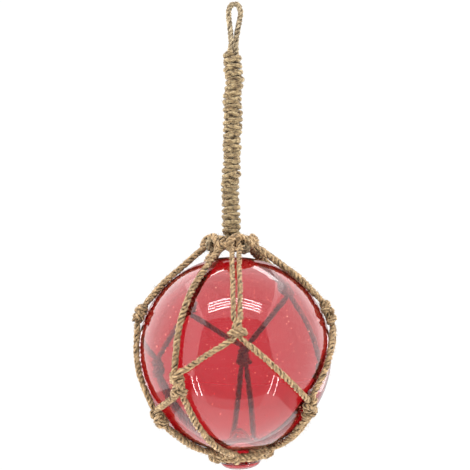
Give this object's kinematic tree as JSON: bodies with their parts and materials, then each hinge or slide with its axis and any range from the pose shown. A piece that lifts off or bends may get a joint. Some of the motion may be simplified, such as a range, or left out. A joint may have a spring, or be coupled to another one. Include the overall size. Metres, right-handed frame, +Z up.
{
  "type": "glass net float",
  "caption": "Red blown-glass float ball in a knotted jute net, hung by a cord-whipped rope handle that ends in a small eye loop.",
  "frame": {"origin": "the point where a hook bears, inside the top of the hanging loop", "axes": "+Z up along the handle, -Y the front of the ball, +X its right"},
  "size_m": [0.1335, 0.1404, 0.3074],
  "materials": {
    "red_glass": "clear red blown glass, smooth and glossy, with small seeds",
    "net_jute": "three-strand natural jute cord, matt and slightly fuzzy",
    "handle_jute": "natural jute cord wound in close turns, matt"
  },
  "bodies": {
    "root": {"glass_ball": "red_glass", "crown_ring": "net_jute", "bottom_ring": "net_jute", "net_cord_front": "net_jute", "net_cord_right": "net_jute", "net_cord_back_right": "net_jute", "net_cord_back_left": "net_jute", "net_cord_left": "net_jute", "net_cord_closing": "net_jute", "hanging_cord": "handle_jute", "handle_whipping": "handle_jute"}
  },
  "joints": []
}
